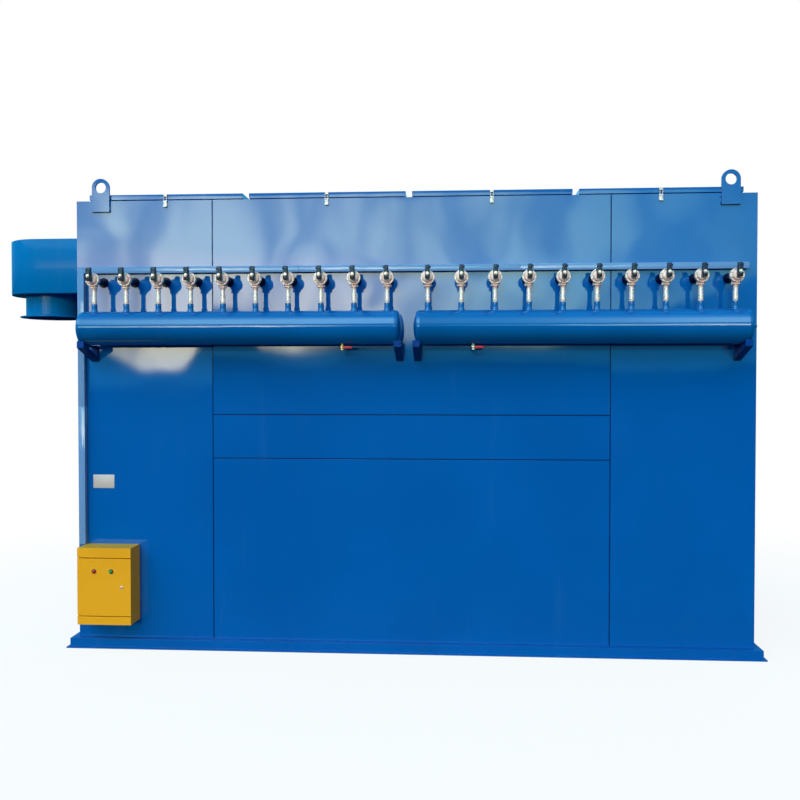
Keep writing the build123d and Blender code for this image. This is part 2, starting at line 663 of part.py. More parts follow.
def inlet_hood():
    """Round-ended sheet hood, its round neck and the bolted flange under it."""
    with BuildPart() as hood:
        with BuildSketch(Plane.XY.offset(HOOD_BOTTOM)):
            add(hood_plan(HOOD_RADIUS))
        extrude(amount=HOOD_HEIGHT)
        with BuildSketch(Plane.XY.offset(HOOD_BOTTOM + HOOD_SHEET)):
            add(hood_plan(HOOD_RADIUS - HOOD_SHEET))
        extrude(amount=HOOD_HEIGHT - 2 * HOOD_SHEET, mode=Mode.SUBTRACT)
        with BuildSketch(Plane.XY.offset(HOOD_BOTTOM)):
            with Locations((HOOD_X, 0)):
                Circle(NECK_RADIUS - NECK_SHEET)
        extrude(amount=HOOD_SHEET, mode=Mode.SUBTRACT)
    finish(hood, "inlet_hood")

    with BuildPart() as neck:
        with BuildSketch(Plane.XY.offset(NECK_BOTTOM)):
            with Locations((HOOD_X, 0)):
                Circle(NECK_RADIUS)
                Circle(NECK_RADIUS - NECK_SHEET, mode=Mode.SUBTRACT)
        extrude(amount=NECK_LENGTH)
    finish(neck, "inlet_neck")

    with BuildPart() as flange:
        with BuildSketch(Plane.XY.offset(FLANGE_BOTTOM)):
            with Locations((HOOD_X, 0)):
                Circle(FLANGE_RADIUS)
                Circle(NECK_RADIUS - NECK_SHEET, mode=Mode.SUBTRACT)
                with PolarLocations(BOLT_CIRCLE_DIAMETER / 2, FLANGE_BOLTS):
                    Circle(BOLT_HOLE_DIAMETER / 2, mode=Mode.SUBTRACT)
        extrude(amount=FLANGE_THICKNESS)
    finish(flange, "inlet_flange")


base_frame()
housing_core()
wall_panels()
side_panels()
roof()
lid_catches()
lifting_eyes()
for tank_name, tank_side in (("left", -1), ("right", 1)):
    tank(tank_name, tank_side, air_inlet=tank_name == "right")
    valves(tank_name, tank_side)
    drain_valve(tank_name, tank_side)
wiring_trunk()
control_box()
inlet_hood()
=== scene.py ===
"""Looks of the baghouse dust collector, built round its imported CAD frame.

Metres, in the frame of the CAD: the origin is on the floor under the middle of the housing, +X runs
along it to the right, -Y is the valve side and +Z is up.
"""
from math import atan2, cos, pi, radians, sin

import bmesh
import bpy
from mathutils import Matrix, Vector


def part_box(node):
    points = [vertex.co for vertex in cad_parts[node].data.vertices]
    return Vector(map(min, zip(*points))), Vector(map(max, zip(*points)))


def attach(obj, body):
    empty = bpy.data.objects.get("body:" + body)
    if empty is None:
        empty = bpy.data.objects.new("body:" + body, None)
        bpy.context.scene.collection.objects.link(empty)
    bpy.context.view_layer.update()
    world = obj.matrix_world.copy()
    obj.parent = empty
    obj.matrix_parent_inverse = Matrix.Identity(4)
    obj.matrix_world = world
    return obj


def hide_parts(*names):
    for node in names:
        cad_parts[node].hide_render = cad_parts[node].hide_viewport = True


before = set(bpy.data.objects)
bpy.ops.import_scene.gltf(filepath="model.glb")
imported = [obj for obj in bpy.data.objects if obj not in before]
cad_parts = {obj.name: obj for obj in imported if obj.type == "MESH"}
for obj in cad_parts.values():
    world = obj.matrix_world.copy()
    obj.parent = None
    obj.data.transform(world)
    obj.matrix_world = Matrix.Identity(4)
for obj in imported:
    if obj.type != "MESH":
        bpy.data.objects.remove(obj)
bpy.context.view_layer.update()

X_AXIS = Vector((1, 0, 0))
Y_AXIS = Vector((0, 1, 0))
Z_AXIS = Vector((0, 0, 1))

# Places read from the frame
WALL_LOW, WALL_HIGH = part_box("front_panel_left")
FRONT = WALL_LOW.y
WALL_TOP = WALL_HIGH.z
TANK_LOW, TANK_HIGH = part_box("tank_right_ends")
TANK_INNER_END = TANK_LOW.x
TANK_OUTER_END = -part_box("tank_left_ends")[0].x
TANK_Y = (TANK_LOW.y + TANK_HIGH.y) / 2
TANK_Z = (TANK_LOW.z + TANK_HIGH.z) / 2
TANK_RADIUS = (TANK_HIGH.z - TANK_LOW.z) / 2
RISER_LOW, RISER_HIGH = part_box("risers_right")
COILS_LOW, COILS_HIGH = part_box("coils_right")
NUTS_LOW, NUTS_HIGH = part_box("coil_nuts_right")
DOOR_LOW, DOOR_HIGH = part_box("control_door")
BOX_LOW, BOX_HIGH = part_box("control_box")
HOOD_LOW, HOOD_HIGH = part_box("inlet_hood")
NECK_LOW, NECK_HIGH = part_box("inlet_neck")

# Sizes that the boxes don't give
SIDES = {"left": -1, "right": 1}
VALVES = 10
VALVE_PITCH = 0.202
FIRST_VALVE = 0.123
VALVE_PLACES = [FIRST_VALVE + i * VALVE_PITCH for i in range(VALVES)]
VALVE_Z = RISER_HIGH.z + 0.054
BONNET_RADIUS = 0.042
COIL_HEIGHT = 0.058
STUB_RADIUS = 0.018
RISER_RADIUS = 0.015
HEAD_DEPTH = 0.034
HEAD_KNUCKLE = 0.020


def linear(red, green, blue):
    """A colour given in the numbers of a screen, 0 to 255, as the shader's linear values."""
    values = []
    for level in (red, green, blue):
        share = level / 255
        values.append(share / 12.92 if share <= 0.04045 else ((share + 0.055) / 1.055) ** 2.4)
    return (*values, 1.0)


class Graph:
    """A node tree in the making: its methods add nodes and give back what they put out."""

    def __init__(self, tree, place):
        self.tree = tree
        self.place = self.add("ShaderNodeTexCoord").outputs[place]

    def feed(self, socket, value):
        """Link a socket, or set it where the value is a plain number or colour."""
        if isinstance(value, bpy.types.NodeSocket):
            self.tree.links.new(value, socket)
        else:
            socket.default_value = value

    def add(self, kind, *ordered, **named):
        """A new node, its first inputs fed in their order and others by name."""
        node = self.tree.nodes.new(kind)
        for socket, value in zip(node.inputs, ordered):
            self.feed(socket, value)
        for name, value in named.items():
            self.feed(node.inputs[name], value)
        return node

    def scaled(self, stretch, turn=(0, 0, 0)):
        """The place of a texture, turned and stretched."""
        return self.add("ShaderNodeMapping", self.place, Scale=stretch, Rotation=turn).outputs["Vector"]

    def noise(self, scale, detail=2.0, roughness=0.5, distortion=0.0, stretch=(1, 1, 1), turn=(0, 0, 0)):
        """A cloudy level from 0 to 1."""
        node = self.add("ShaderNodeTexNoise", self.scaled(stretch, turn), Scale=scale, Detail=detail,
                        Roughness=roughness, Distortion=distortion)
        return node.outputs["Fac"]

    def cells(self, scale):
        """Small cells, each with a level of its own from 0 to 1."""
        node = self.add("ShaderNodeTexVoronoi", self.scaled((1, 1, 1)), Scale=scale)
        return self.add("ShaderNodeSeparateColor", node.outputs["Color"]).outputs["Red"]

    def along(self, axis):
        """How far the shaded place lies along X, Y or Z."""
        return self.add("ShaderNodeSeparateXYZ", self.place).outputs[axis]

    def range(self, value, from_low, from_high, to_low, to_high):
        """One range of values led over into another, with a soft start and end."""
        node = self.add("ShaderNodeMapRange", value, from_low, from_high, to_low, to_high)
        node.interpolation_type = "SMOOTHSTEP"
        return node.outputs["Result"]

    def math(self, operation, first, second):
        """One sum, difference or product of two values."""
        node = self.add("ShaderNodeMath", first, second)
        node.operation = operation
        return node.outputs["Value"]

    def product(self, first, *others):
        """The product of any number of values."""
        for value in others:
            first = self.math("MULTIPLY", first, value)
        return first

    def mix(self, factor, first, second):
        """A blend of two colours."""
        node = self.add("ShaderNodeMix")
        node.data_type = "RGBA"
        self.feed(node.inputs["Factor"], factor)
        self.feed(node.inputs["A"], first)
        self.feed(node.inputs["B"], second)
        return next(out for out in node.outputs if out.type == "RGBA")

    def camera_only(self, seen, unseen):
        """One shader where the camera looks and another for every other ray."""
        ray = self.add("ShaderNodeLightPath").outputs["Is Camera Ray"]
        return self.add("ShaderNodeMixShader", ray, unseen, seen).outputs["Shader"]


class Surface(Graph):
    """A procedural material: a shader with chains of textures on its colour, roughness and bump."""

    def __init__(self, name, metallic=0.0, coat=0.0, coat_roughness=0.03, specular=0.5):
        self.material = bpy.data.materials.new(name)
        self.material.use_nodes = True
        super().__init__(self.material.node_tree, "Object")
        self.shader = self.tree.nodes["Principled BSDF"]
        self.shader.inputs["Metallic"].default_value = metallic
        self.shader.inputs["Specular IOR Level"].default_value = specular
        self.shader.inputs["Coat IOR"].default_value = 1.6
        self.shader.inputs["Coat Weight"].default_value = coat
        self.shader.inputs["Coat Roughness"].default_value = coat_roughness
        self.normal = None

    def colour(self, value):
        self.feed(self.shader.inputs["Base Color"], value)

    def roughness(self, value):
        self.feed(self.shader.inputs["Roughness"], value)

    def bump(self, value, distance, strength=1.0):
        """Add a relief to those that the surface has already."""
        node = self.add("ShaderNodeBump", Height=value, Distance=distance, Strength=strength)
        if self.normal is not None:
            self.feed(node.inputs["Normal"], self.normal)
        self.normal = node.outputs["Normal"]
        self.feed(self.shader.inputs["Normal"], self.normal)
        if self.shader.inputs["Coat Weight"].default_value > 0:
            self.feed(self.shader.inputs["Coat Normal"], self.normal)


def paint(name, base, shade, wave=0.004, dust=0.1, rough=0.22, coat=1.0, specular=0.01, lean=0.0):
    """Gloss paint on sheet steel: slow waves in the sheet, orange peel, a little dust and road dirt.

    A sheet that leans by a fraction of a degree at mid height mirrors what lies lower or higher.
    """
    surface = Surface(name, coat=coat, specular=specular)
    cloud = surface.noise(1.7, detail=3.0)
    tone = surface.mix(surface.range(cloud, 0.35, 0.65, 0.0, 1.0), base, shade)
    streaks = surface.noise(9.0, detail=4.0, roughness=0.6, stretch=(1, 1, 0.12))
    film = surface.range(streaks, 0.55, 0.85, 0.0, dust * 0.35)
    tone = surface.mix(film, tone, linear(132, 148, 168))
    specks = surface.noise(160.0, detail=2.0, roughness=0.7)
    low = surface.range(surface.along("Z"), 0.55, 0.02, 0.0, 1.0)
    splash = surface.product(surface.range(specks, 0.56, 0.72, 0.0, dust), low)
    surface.colour(surface.mix(splash, tone, linear(150, 140, 124)))
    surface.roughness(surface.range(surface.noise(22.0, detail=3.0), 0.3, 0.75, rough * 0.95, rough * 1.1))
    if lean:
        # The bulge in millimetres; a smooth step is steepest halfway, at 1.5 times its mean slope
        bulge = surface.range(surface.along("Z"), 1.1, 2.5, 0.0, lean * 930)
        surface.bump(bulge, 0.001)
    surface.bump(surface.noise(0.9, detail=1.0, stretch=(1, 1, 1.6)), wave)
    surface.bump(surface.noise(3.2, detail=1.0), wave * 0.12)
    surface.bump(surface.noise(420.0, detail=1.0), 0.00002, 0.5)
    return surface.material


def galvanised(name, bright, dull, rough=0.34, metallic=1.0):
    """Zinc-coated steel with its crystal pattern and fine handling marks."""
    surface = Surface(name, metallic=metallic)
    crystals = surface.cells(95.0)
    tone = surface.mix(crystals, dull, bright)
    stain = surface.range(surface.noise(38.0, detail=4.0, roughness=0.65), 0.55, 0.8, 0.0, 0.45)
    surface.colour(surface.mix(stain, tone, linear(140, 132, 118)))
    surface.roughness(surface.range(crystals, 0.0, 1.0, rough * 0.8, rough * 1.25))
    surface.bump(surface.noise(260.0, detail=3.0), 0.0001, 0.6)
    return surface.material


def cast(name, base, shade, metallic):
    """Die-cast metal: a soft skin, darker patches and small pits."""
    surface = Surface(name, metallic=metallic)
    rough = 0.42
    patches = surface.noise(45.0, detail=4.0, roughness=0.6)
    surface.colour(surface.mix(surface.range(patches, 0.35, 0.7, 0.0, 1.0), base, shade))
    surface.roughness(surface.range(surface.noise(120.0, detail=3.0), 0.3, 0.7, rough * 0.75, rough * 1.3))
    surface.bump(surface.noise(520.0, detail=4.0, roughness=0.7), 0.00035, 0.7)
    return surface.material


def plated(name, base, shade, rough=0.18, metallic=1.0):
    """Smooth plated or turned metal with faint rubbing marks."""
    surface = Surface(name, metallic=metallic)
    rubbed = surface.noise(240.0, detail=3.0, roughness=0.6, stretch=(0.15, 1, 1))
    surface.colour(surface.mix(surface.range(rubbed, 0.4, 0.7, 0.0, 1.0), base, shade))
    surface.roughness(surface.range(rubbed, 0.3, 0.7, rough * 0.7, rough * 1.6))
    surface.bump(rubbed, 0.00005, 0.5)
    return surface.material


def moulded(name, base, shade, rough=0.35, coat=0.0):
    """Moulded plastic or rubber with a fine eroded grain."""
    surface = Surface(name, coat=coat, coat_roughness=0.05)
    dull = surface.noise(60.0, detail=3.0)
    surface.colour(surface.mix(surface.range(dull, 0.35, 0.7, 0.0, 1.0), base, shade))
    surface.roughness(surface.range(surface.noise(300.0, detail=2.0), 0.3, 0.7, rough * 0.8, rough * 1.3))
    surface.bump(surface.noise(900.0, detail=2.0), 0.00012, 0.6)
    return surface.material


BLUE = linear(0, 80, 150)
BLUE_SHADE = linear(0, 77, 146)
wall_paint = paint("wall_paint", BLUE, BLUE_SHADE)
left_paint = paint("left_sheet_paint", BLUE, BLUE_SHADE, wave=0.005, lean=-0.014)
middle_paint = paint("middle_sheet_paint", BLUE, BLUE_SHADE, wave=0.005, lean=0.004)
right_paint = paint("right_sheet_paint", BLUE, BLUE_SHADE, wave=0.006, lean=-0.002)
roof_paint = paint("roof_paint", BLUE, BLUE_SHADE, wave=0.002, dust=0.5)
# Painted shade: the core face that shows through the panel opening is dark navy, standing in for the shade
# of a deep pocket
core_painted_shade = paint("core_painted_shade", linear(0, 34, 84), linear(0, 28, 74), wave=0.001, coat=0.1, specular=0.1)
base_paint = paint("base_paint", BLUE, linear(0, 76, 144), wave=0.001, rough=0.4, coat=0.15, specular=0.05)
hood_paint = paint("hood_paint", linear(0, 99, 155), linear(0, 95, 151), wave=0.0015, coat=0.08,
                   specular=0.06)
tank_paint = paint("tank_paint", linear(0, 82, 144), linear(0, 78, 139), wave=0.0004, dust=0.06,
                   specular=0.05)
# Painted shade: the brackets under the tanks get a darker blue than the housing's, standing in for the shade
# they sit in
bracket_painted_shade = paint("bracket_painted_shade", linear(0, 54, 122), linear(0, 46, 110), wave=0.0003, rough=0.4,
                      coat=0.0, specular=0.1)
trunk_paint = paint("trunk_paint", linear(102, 132, 174), linear(95, 126, 170), wave=0.0008, rough=0.25)
box_paint = paint("box_paint", linear(224, 146, 22), linear(217, 139, 18), wave=0.0006, rough=0.45,
                  coat=0.0, specular=0.15)
navy = paint("navy_paint", linear(4, 22, 62), linear(3, 17, 50), wave=0.0002, coat=0.1)
black_pipe = paint("black_pipe", linear(3, 14, 44), linear(2, 10, 34), wave=0.0001, coat=0.05, specular=0.15)
zinc = galvanised("zinc", linear(236, 234, 226), linear(206, 206, 204))
zinc_pipe = galvanised("zinc_pipe", linear(255, 225, 213), linear(240, 209, 192), rough=0.28, metallic=0.4)
valve_metal = cast("valve_metal", linear(255, 212, 200), linear(238, 188, 168), 0.15)
bolt_steel = plated("bolt_steel", linear(224, 220, 206), linear(190, 184, 168), rough=0.24)
nut_steel = plated("nut_steel", linear(255, 222, 206), linear(244, 203, 178), rough=0.2, metallic=0.4)
catch_steel = plated("catch_steel", linear(240, 208, 196), linear(208, 178, 168), rough=0.2, metallic=0.4)
plate_metal = plated("plate_metal", linear(198, 173, 167), linear(190, 166, 160), rough=0.4, metallic=0.15)
brass = plated("brass", linear(226, 196, 130), linear(200, 166, 96), rough=0.24)
coil_plastic = moulded("coil_plastic", linear(20, 22, 34), linear(26, 30, 44))
plug_plastic = moulded("plug_plastic", linear(24, 30, 52), linear(30, 38, 62), rough=0.3)
rubber = moulded("rubber", linear(22, 22, 24), linear(34, 34, 36), rough=0.6)
lever_vinyl = moulded("lever_vinyl", linear(176, 24, 30), linear(156, 20, 26), rough=0.3)
red_lens = moulded("red_lens", linear(150, 16, 24), linear(170, 22, 28), rough=0.2, coat=0.3)
green_lens = moulded("green_lens", linear(10, 112, 50), linear(14, 128, 60), rough=0.2, coat=0.3)


class Shape:
    """The faces of one piece, gathered form by form."""

    def __init__(self):
        self.mesh = bmesh.new()
        self.finish = 0

    def take(self, part):
        """Move the faces of a finished form into the piece."""
        bmesh.ops.recalc_face_normals(part, faces=part.faces)
        for face in part.faces:
            face.material_index = self.finish
        holder = bpy.data.meshes.new("form")
        part.to_mesh(holder)
        part.free()
        self.mesh.from_mesh(holder)
        bpy.data.meshes.remove(holder)

    def turned(self, origin, axis, profile, sides=32, across=None, ring=False):
        """A turned form; the profile is (distance along the axis, radius) from end to end."""
        axis = Vector(axis).normalized()
        across = Vector(across) if across else axis.orthogonal()
        across.normalize()
        beside = axis.cross(across)
        part = bmesh.new()
        loops = []
        for along, radius in profile:
            centre = Vector(origin) + axis * along
            if radius <= 0:
                loops.append([part.verts.new(centre)])
                continue
            loop = []
            for i in range(sides):
                angle = 2 * pi * i / sides
                loop.append(part.verts.new(centre + (across * cos(angle) + beside * sin(angle)) * radius))
            loops.append(loop)
        pairs = list(zip(loops, loops[1:]))
        if ring:
            pairs.append((loops[-1], loops[0]))
        for first, second in pairs:
            for i in range(sides):
                j = (i + 1) % sides
                near = [first[i % len(first)], first[j % len(first)]]
                far = [second[j % len(second)], second[i % len(second)]]
                corners = list(dict.fromkeys(near + far))
                if len(corners) > 2:
                    part.faces.new(corners)
        self.take(part)

    def hexagon(self, origin, axis, radius, length, across=None):
        """A nut or bolt head with its corners turned off."""
        edge = min(0.12 * radius, 0.3 * length)
        profile = [(0, 0), (0, radius - edge), (edge * 0.6, radius), (length - edge * 0.6, radius),
                   (length, radius - edge), (length, 0)]
        self.turned(origin, axis, profile, sides=6, across=across)

    def soften(self, part, edge, segments=2):
        """Round all edges of a form."""
        bmesh.ops.bevel(part, geom=part.edges[:], offset=edge, segments=segments, profile=0.5,
                        affect="EDGES")

    def block(self, low, high, edge, segments=2):
        """A box between two corners, its edges rounded."""
        part = bmesh.new()
        low, high = Vector(low), Vector(high)
        bmesh.ops.create_cube(part, size=1.0)
        bmesh.ops.scale(part, vec=high - low, verts=part.verts)
        bmesh.ops.translate(part, vec=(low + high) / 2, verts=part.verts)
        self.soften(part, edge, segments)
        self.take(part)

    def profile(self, points, start, travel, edge=0.0):
        """A flat outline pushed along a straight line, its edges rounded."""
        part = bmesh.new()
        first = [part.verts.new(Vector(start) + Vector(p)) for p in points]
        last = [part.verts.new(v.co + Vector(travel)) for v in first]
        part.faces.new(first[::-1])
        part.faces.new(last)
        for i in range(len(points)):
            j = (i + 1) % len(points)
            part.faces.new((first[i], first[j], last[j], last[i]))
        bmesh.ops.recalc_face_normals(part, faces=part.faces)
        if edge > 0:
            self.soften(part, edge)
        self.take(part)

    def pierced(self, outer, inner, thickness):
        """A plate between two loops with the same number of points, pushed along the thickness."""
        part = bmesh.new()
        rows = []
        for shift in (Vector((0, 0, 0)), Vector(thickness)):
            rows.append([part.verts.new(Vector(p) + shift) for p in outer])
            rows.append([part.verts.new(Vector(p) + shift) for p in inner])
        count = len(outer)
        for first, second in ((0, 1), (1, 3), (3, 2), (2, 0)):
            for i in range(count):
                j = (i + 1) % count
                part.faces.new((rows[first][i], rows[first][j], rows[second][j], rows[second][i]))
        self.take(part)

    def repeat(self, template, places):
        """Copies of another shape, each moved by its own step."""
        for place in places:
            holder = bpy.data.meshes.new("copy")
            template.mesh.to_mesh(holder)
            holder.transform(Matrix.Translation(place))
            self.mesh.from_mesh(holder)
            bpy.data.meshes.remove(holder)

    def piece(self, name, body, slot, finishes, replaces=()):
        """Make the shape an object that rides on a body; the slot argument is not used."""
        mesh = bpy.data.meshes.new(name)
        self.mesh.to_mesh(mesh)
        self.mesh.free()
        for finish in finishes:
            mesh.materials.append(finish)
        mesh.shade_smooth()
        mesh.set_sharp_from_angle(angle=radians(35))
        made = bpy.data.objects.new(name, mesh)
        bpy.context.scene.collection.objects.link(made)
        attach(made, body)
        if replaces:
            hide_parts(*replaces)


def dress(finish, *names, edge=0.0015):
    """Give CAD nodes a finish and softly rounded edges."""
    for name in names:
        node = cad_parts[name]
        for slot in node.material_slots:
            slot.material = finish
        if edge > 0:
            weld = node.modifiers.new("weld", "WELD")
            weld.merge_threshold = 0.00001
            bevel = node.modifiers.new("edge", "BEVEL")
            bevel.width = edge
            bevel.segments = 2
            bevel.limit_method = "ANGLE"
            bevel.angle_limit = radians(40)
            bevel.use_clamp_overlap = True
            normals = node.modifiers.new("normals", "WEIGHTED_NORMAL")
            normals.keep_sharp = False


# CAD nodes whose shape is right
dress(wall_paint, "back_wall", "side_panel_left", "side_panel_right")
dress(left_paint, "front_panel_left")
dress(middle_paint, "front_panel_top", "front_panel_middle", "front_panel_bottom")
dress(right_paint, "front_panel_right")
dress(core_painted_shade, "housing_core", edge=0)
dress(roof_paint, "roof_plate", "lid_1", "lid_2", "lid_3", "lid_4", edge=0.001)
dress(base_paint, "base_frame", edge=0.002)
dress(bracket_painted_shade, "tank_left_brackets", "tank_right_brackets", edge=0.001)
dress(box_paint, "control_box", "control_door", edge=0.0012)
dress(zinc, "mounting_plate", edge=0.0005)
dress(hood_paint, "inlet_flange", edge=0.0008)


def rod(end, radius, start=0.0):
    """The profile of a plain round rod."""
    return [(start, 0), (start, radius), (end, radius), (end, 0)]


def valve_steps(side):
    """The steps from the middle of the housing to the valves of one tank."""
    return [(side * x, 0, 0) for x in VALVE_PLACES]


def row_of(one, side):
    """A shape with a copy of another one at each valve of a tank."""
    whole = Shape()
    whole.repeat(one, valve_steps(side))
    return whole


def dished_end():
    """The tank's end as (distance from the rim, radius): a crown arc, then a knuckle."""
    steps = 8
    knuckle_ring = TANK_RADIUS - HEAD_KNUCKLE
    crown = (HEAD_DEPTH**2 + knuckle_ring**2 - HEAD_KNUCKLE**2) / (2 * (HEAD_DEPTH - HEAD_KNUCKLE))
    crown_centre = HEAD_DEPTH - crown
    turn = atan2(knuckle_ring, -crown_centre)
    dome = []
    for i in range(steps + 1):
        angle = turn * i / steps
        dome.append((crown_centre + crown * cos(angle), crown * sin(angle)))
    for i in range(1, steps + 1):
        angle = turn + (pi / 2 - turn) * i / steps
        dome.append((HEAD_KNUCKLE * cos(angle), knuckle_ring + HEAD_KNUCKLE * sin(angle)))
    return dome


def tank_vessel(name, side):
    """The tank's tube and its two dished ends, with weld beads and the sockets for the risers."""
    length = TANK_OUTER_END - TANK_INNER_END
    bead = [(-0.001, 0.0), (-0.004, 0.0016), (-0.008, 0.0016), (-0.011, 0.0)]
    half = [(HEAD_DEPTH - along, radius) for along, radius in dished_end()]
    half += [(HEAD_DEPTH - along, TANK_RADIUS + rise) for along, rise in bead]
    profile = half + [(length - along, radius) for along, radius in reversed(half)]
    vessel = Shape()
    vessel.turned((side * TANK_INNER_END, TANK_Y, TANK_Z), X_AXIS * side, profile, sides=96, across=Z_AXIS)
    socket = Shape()
    top = RISER_LOW.z - TANK_Z
    base = TANK_RADIUS
    rings = [
        (base - 0.012, 0), (base - 0.012, 0.0235), (base - 0.001, 0.0232), (base + 0.004, 0.0202),
        (base + 0.007, STUB_RADIUS + 0.0004), (base + 0.008, STUB_RADIUS), (top - 0.0015, STUB_RADIUS),
        (top, STUB_RADIUS - 0.0015), (top, 0),
    ]
    socket.turned((0, TANK_Y, TANK_Z), Z_AXIS, rings, sides=28)
    vessel.repeat(socket, valve_steps(side))
    if side > 0:
        mouth = [
            (0, 0), (0, 0.015), (0.004, 0.0125), (0.005, 0.012), (0.0265, 0.012), (0.028, 0.0105),
            (0.028, 0.007), (0.012, 0.007), (0.012, 0),
        ]
        vessel.turned((TANK_OUTER_END - 0.003, TANK_Y, TANK_Z), X_AXIS, mouth, sides=28)
    nodes = (f"tank_{name}_shell", f"tank_{name}_ends")
    vessel.piece(f"tank_{name}_vessel", "housing", "tank_blue", [tank_paint], replaces=nodes)


def riser_set(name, side):
    """Threaded nipples between the tank's sockets and the valves."""
    length = RISER_HIGH.z - RISER_LOW.z
    root = RISER_RADIUS - 0.0011
    pitch = 0.0023
    hidden = 0.004
    profile = [(-hidden, 0), (-hidden, root)]
    for end, after in ((0.0, RISER_RADIUS), (length - 0.014, root)):
        for i in range(6):
            profile += [(end + 0.0004 + i * pitch, root), (end + 0.0015 + i * pitch, RISER_RADIUS)]
        profile.append((end + 0.0142, after))
    profile += [(length + hidden, root), (length + hidden, 0)]
    one = Shape()
    one.turned((0, TANK_Y, RISER_LOW.z), Z_AXIS, profile, sides=24)
    row_of(one, side).piece(f"riser_set_{name}", "housing", "galvanised", [zinc_pipe],
                            replaces=[f"risers_{name}"])


def valve_set(name, side):
    """Right-angle diaphragm valves: neck nut, body, bolted cover, pilot and the nut on the blow pipe."""
    forward = -Y_AXIS
    centre = Vector((0, TANK_Y, VALVE_Z))
    body_face = 0.0145
    seal = 0.0245
    cover_face = 0.036
    rim = BONNET_RADIUS - 0.001
    one = Shape()
    one.hexagon((0, TANK_Y, RISER_HIGH.z), Z_AXIS, 0.026, 0.016, across=X_AXIS)
    neck = [(0, 0), (0, 0.0235), (0.003, 0.0225), (0.012, 0.0235), (0.020, 0.0265), (0.028, 0.0285),
            (0.038, 0)]
    one.turned((0, TANK_Y, RISER_HIGH.z + 0.0155), Z_AXIS, neck, sides=28)
    body = [
        (-0.028, 0), (-0.028, 0.0235), (-0.0265, 0.025), (-0.014, 0.0255), (-0.008, 0.0275), (0.002, 0.0295),
        (0.008, 0.032), (0.0125, 0.037), (0.014, BONNET_RADIUS - 0.0015), (body_face, BONNET_RADIUS),
        (0.0235, BONNET_RADIUS), (seal, rim), (seal, 0),
    ]
    one.turned(centre, forward, body, sides=40)
    cover = [
        (0.026, 0), (0.026, rim), (0.027, BONNET_RADIUS), (0.0345, BONNET_RADIUS),
        (cover_face, BONNET_RADIUS - 0.0015), (cover_face, 0.0332), (0.0372, 0.0326), (0.045, 0.0315),
        (0.051, 0.029), (0.0550, 0.025), (0.0565, 0.021), (0.0565, 0),
    ]
    one.turned(centre, forward, cover, sides=40)
    for i in range(6):
        angle = 2 * pi * (i + 0.5) / 6
        direction = Vector((cos(angle), 0, sin(angle)))
        beside = Vector((-sin(angle), 0, cos(angle)))
        rib = [direction * reach + forward * rise for reach, rise in (
            (0.018, 0), (0.0328, 0), (0.0318, 0.0105), (0.028, 0.0185), (0.018, 0.0205))]
        one.profile(rib, centre + forward * cover_face - beside * 0.0013, beside * 0.0026)
    pilot_z = COILS_LOW.z + COIL_HEIGHT / 2
    one.hexagon((0, TANK_Y - 0.0555, pilot_z), forward, 0.0155, 0.0045, across=Z_AXIS)
    one.turned((0, TANK_Y - 0.058, pilot_z), forward, rod(0.005, 0.011), sides=24)
    one.finish = 1
    one.turned(centre, forward, rod(0.026, rim, start=seal), sides=40)
    one.finish = 2
    for i in range(8):
        angle = 2 * pi * (i + 0.5) / 8
        place = centre + Vector((cos(angle), 0, sin(angle))) * 0.0373
        one.turned(place + forward * cover_face, forward, rod(0.0007, 0.0046), sides=16)
        one.hexagon(place + forward * 0.0367, forward, 0.0042, 0.0034)
        one.hexagon(place + forward * 0.0142, -forward, 0.0042, 0.0036)
    one.hexagon((0, TANK_Y + 0.0275, VALVE_Z), -forward, 0.0265, 0.014, across=Z_AXIS)
    sleeve = [(0, 0), (0, 0.0225), (0.005, 0.0205), (0.006, 0.0185), (0.006, 0)]
    one.turned((0, TANK_Y + 0.0412, VALVE_Z), -forward, sleeve)
    row_of(one, side).piece(f"valve_set_{name}", "housing", "cast_aluminium",
                            [valve_metal, rubber, bolt_steel], replaces=[f"valves_{name}"])


def coil_set(name, side):
    """Moulded solenoid coils with their plugs, glands and the nuts that hold them."""
    front, back = COILS_LOW.y, COILS_HIGH.y
    middle = (front + back) / 2
    low = COILS_LOW.z
    top = low + COIL_HEIGHT
    plug_top = COILS_HIGH.z
    one = Shape()
    one.block((-0.014, front, low), (0.014, back, top), edge=0.004, segments=4)
    for level in (low + 0.012, low + 0.046):
        one.block((-0.0144, front + 0.004, level - 0.0008), (0.0144, back - 0.004, level + 0.0008),
                  edge=0.0004)
    one.finish = 1
    one.block((-0.013, front + 0.006, top - 0.001), (0.013, back - 0.006, plug_top), edge=0.003, segments=3)
    one.block((-0.0135, front + 0.0055, top + 0.0005), (0.0135, back - 0.0055, top + 0.003), edge=0.0008)
    gland = [(0.0125, 0), (0.0125, 0.0072), (0.0185, 0.0072), (0.020, 0.0058), (0.020, 0.0032),
             (0.0185, 0.0032), (0.0185, 0)]
    one.turned((0, middle, plug_top - 0.0125), X_AXIS * side, gland, sides=20)
    one.finish = 2
    one.turned((0, middle, plug_top - 0.0006), Z_AXIS, rod(0.0005, 0.0032), sides=16)
    row_of(one, side).piece(f"coil_set_{name}", "housing", "coil_black",
                            [coil_plastic, plug_plastic, bolt_steel], replaces=[f"coils_{name}"])

    nut = Shape()
    start = (0, NUTS_HIGH.y, (NUTS_LOW.z + NUTS_HIGH.z) / 2)
    washer = [(-0.001, 0), (-0.001, 0.0105), (0.0008, 0.0105), (0.0012, 0.0100), (0.0012, 0)]
    cap = [(0.001, 0), (0.001, 0.0085), (0.0065, 0.0085), (0.0075, 0.0078), (0.0078, 0.0055),
           (0.0090, 0.0040), (0.0090, 0)]
    nut.turned(start, -Y_AXIS, washer, sides=28)
    nut.turned(start, -Y_AXIS, cap, sides=28)
    row_of(nut, side).piece(f"coil_nut_set_{name}", "housing", "bright_steel", [nut_steel],
                            replaces=[f"coil_nuts_{name}"])


